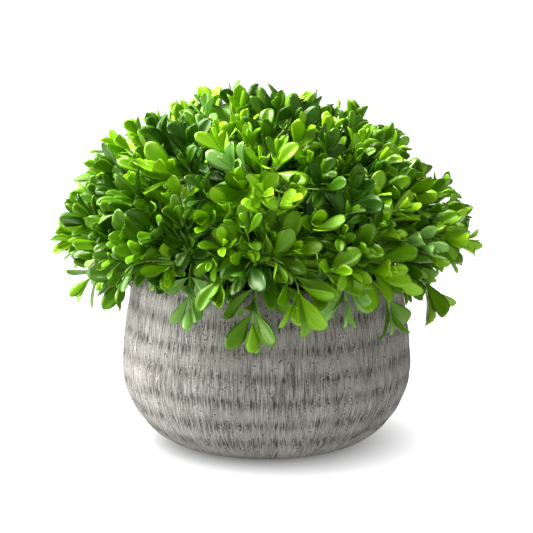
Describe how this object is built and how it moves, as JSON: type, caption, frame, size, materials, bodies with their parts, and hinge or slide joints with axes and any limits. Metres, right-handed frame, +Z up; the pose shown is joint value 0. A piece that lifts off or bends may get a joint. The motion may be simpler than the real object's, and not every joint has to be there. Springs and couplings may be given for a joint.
{
  "type": "potted boxwood",
  "caption": "Low round boxwood shrub with glossy green leaves, arching over the rim of a grey cement bowl pot.",
  "frame": {"origin": "centre of the pot's flat underside, on the surface that the pot stands on", "axes": "+Z up the pot's axis of turning; -Y towards the viewer, +X to the viewer's right"},
  "size_m": [0.329, 0.3354, 0.2851],
  "materials": {
    "pot": "matt cement",
    "soil": "moist potting soil",
    "wood": "young bark",
    "foliage": "glossy leaves"
  },
  "bodies": {
    "root": {"bough_lower_1": "wood", "bough_lower_10": "wood", "bough_lower_2": "wood", "bough_lower_3": "wood", "bough_lower_4": "wood", "bough_lower_5": "wood", "bough_lower_6": "wood", "bough_lower_7": "wood", "bough_lower_8": "wood", "bough_lower_9": "wood", "bough_top": "wood", "bough_upper_1": "wood", "bough_upper_2": "wood", "bough_upper_3": "wood", "bough_upper_4": "wood", "bough_upper_5": "wood", "bough_upper_6": "wood", "foliage_lower_1": "foliage", "foliage_lower_10": "foliage", "foliage_lower_2": "foliage", "foliage_lower_3": "foliage", "foliage_lower_4": "foliage", "foliage_lower_5": "foliage", "foliage_lower_6": "foliage", "foliage_lower_7": "foliage", "foliage_lower_8": "foliage", "foliage_lower_9": "foliage", "foliage_top": "foliage", "foliage_upper_1": "foliage", "foliage_upper_2": "foliage", "foliage_upper_3": "foliage", "foliage_upper_4": "foliage", "foliage_upper_5": "foliage", "foliage_upper_6": "foliage", "main_stem": "wood", "pot": "pot", "soil": "soil"}
  },
  "joints": []
}
